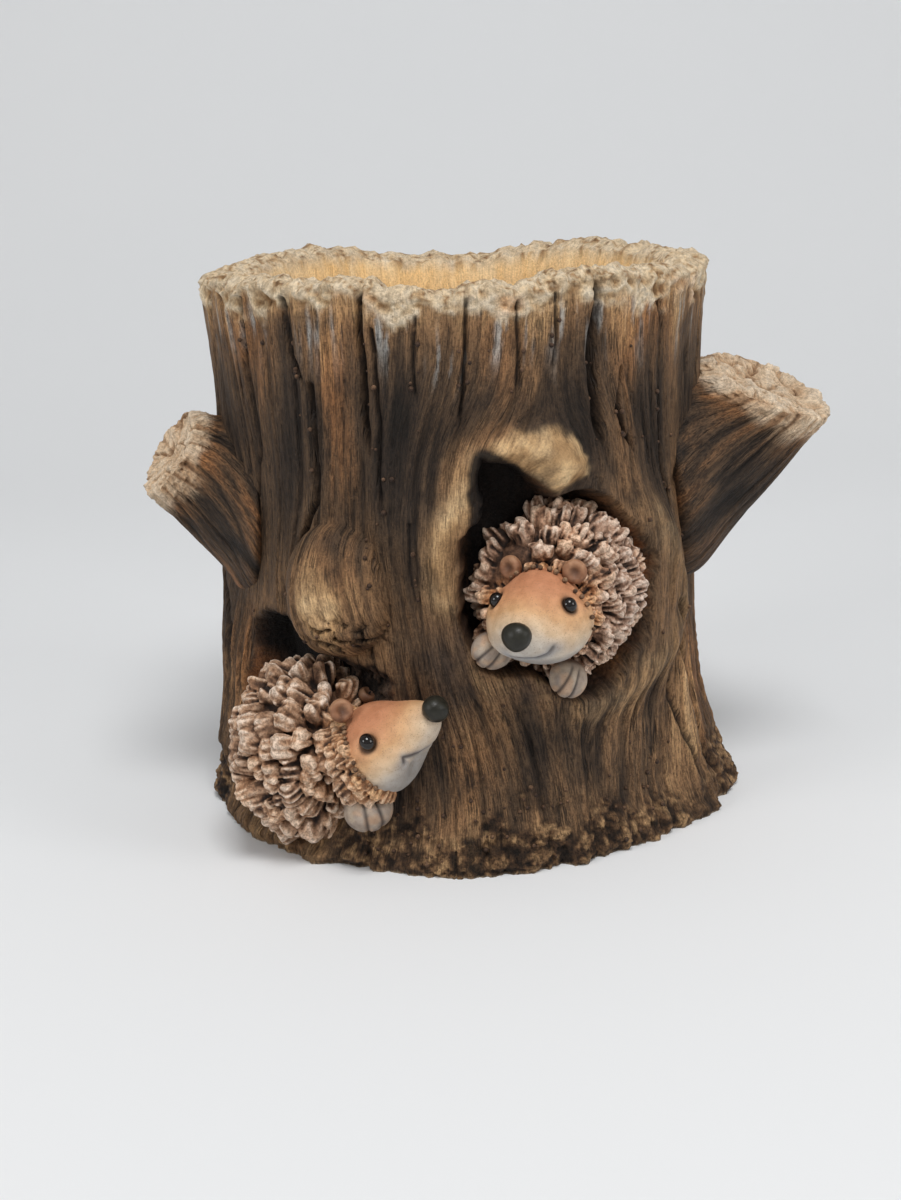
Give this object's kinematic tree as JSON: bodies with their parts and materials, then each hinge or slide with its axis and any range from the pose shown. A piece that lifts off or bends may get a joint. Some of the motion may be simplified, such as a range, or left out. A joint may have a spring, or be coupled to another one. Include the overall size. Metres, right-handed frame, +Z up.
{
  "type": "animal shaped planter",
  "caption": "Cast tree-stump planter with a planting cavity and drain hole, one hedgehog looking out of a hollow, another resting at the foot, and broken branch stubs.",
  "frame": {"origin": "centre of the drain hole's mouth in the flat underside", "axes": "+Z up along the planting cavity's axis, -Y the front with both faces, +X to the viewer's right, towards the larger branch stub"},
  "size_m": [0.2639, 0.2382, 0.214],
  "materials": {
    "bark": "matte, dry-brushed",
    "quills": "matte, dry-brushed",
    "face": "matte, shaded by hand",
    "bead": "gloss",
    "paw": "matte"
  },
  "bodies": {
    "root": {"stump_shell": "bark", "left_branch_stub": "bark", "right_branch_stub": "bark", "upper_quill_coat": "quills", "upper_face": "face", "upper_nose": "bead", "upper_left_eye": "bead", "upper_right_eye": "bead", "upper_left_ear": "face", "upper_right_ear": "face", "upper_left_paw": "paw", "upper_right_paw": "paw", "lower_quill_coat": "quills", "lower_face": "face", "lower_nose": "bead", "lower_eye": "bead", "lower_near_ear": "face", "lower_far_ear": "face", "lower_paw": "paw"}
  },
  "joints": []
}
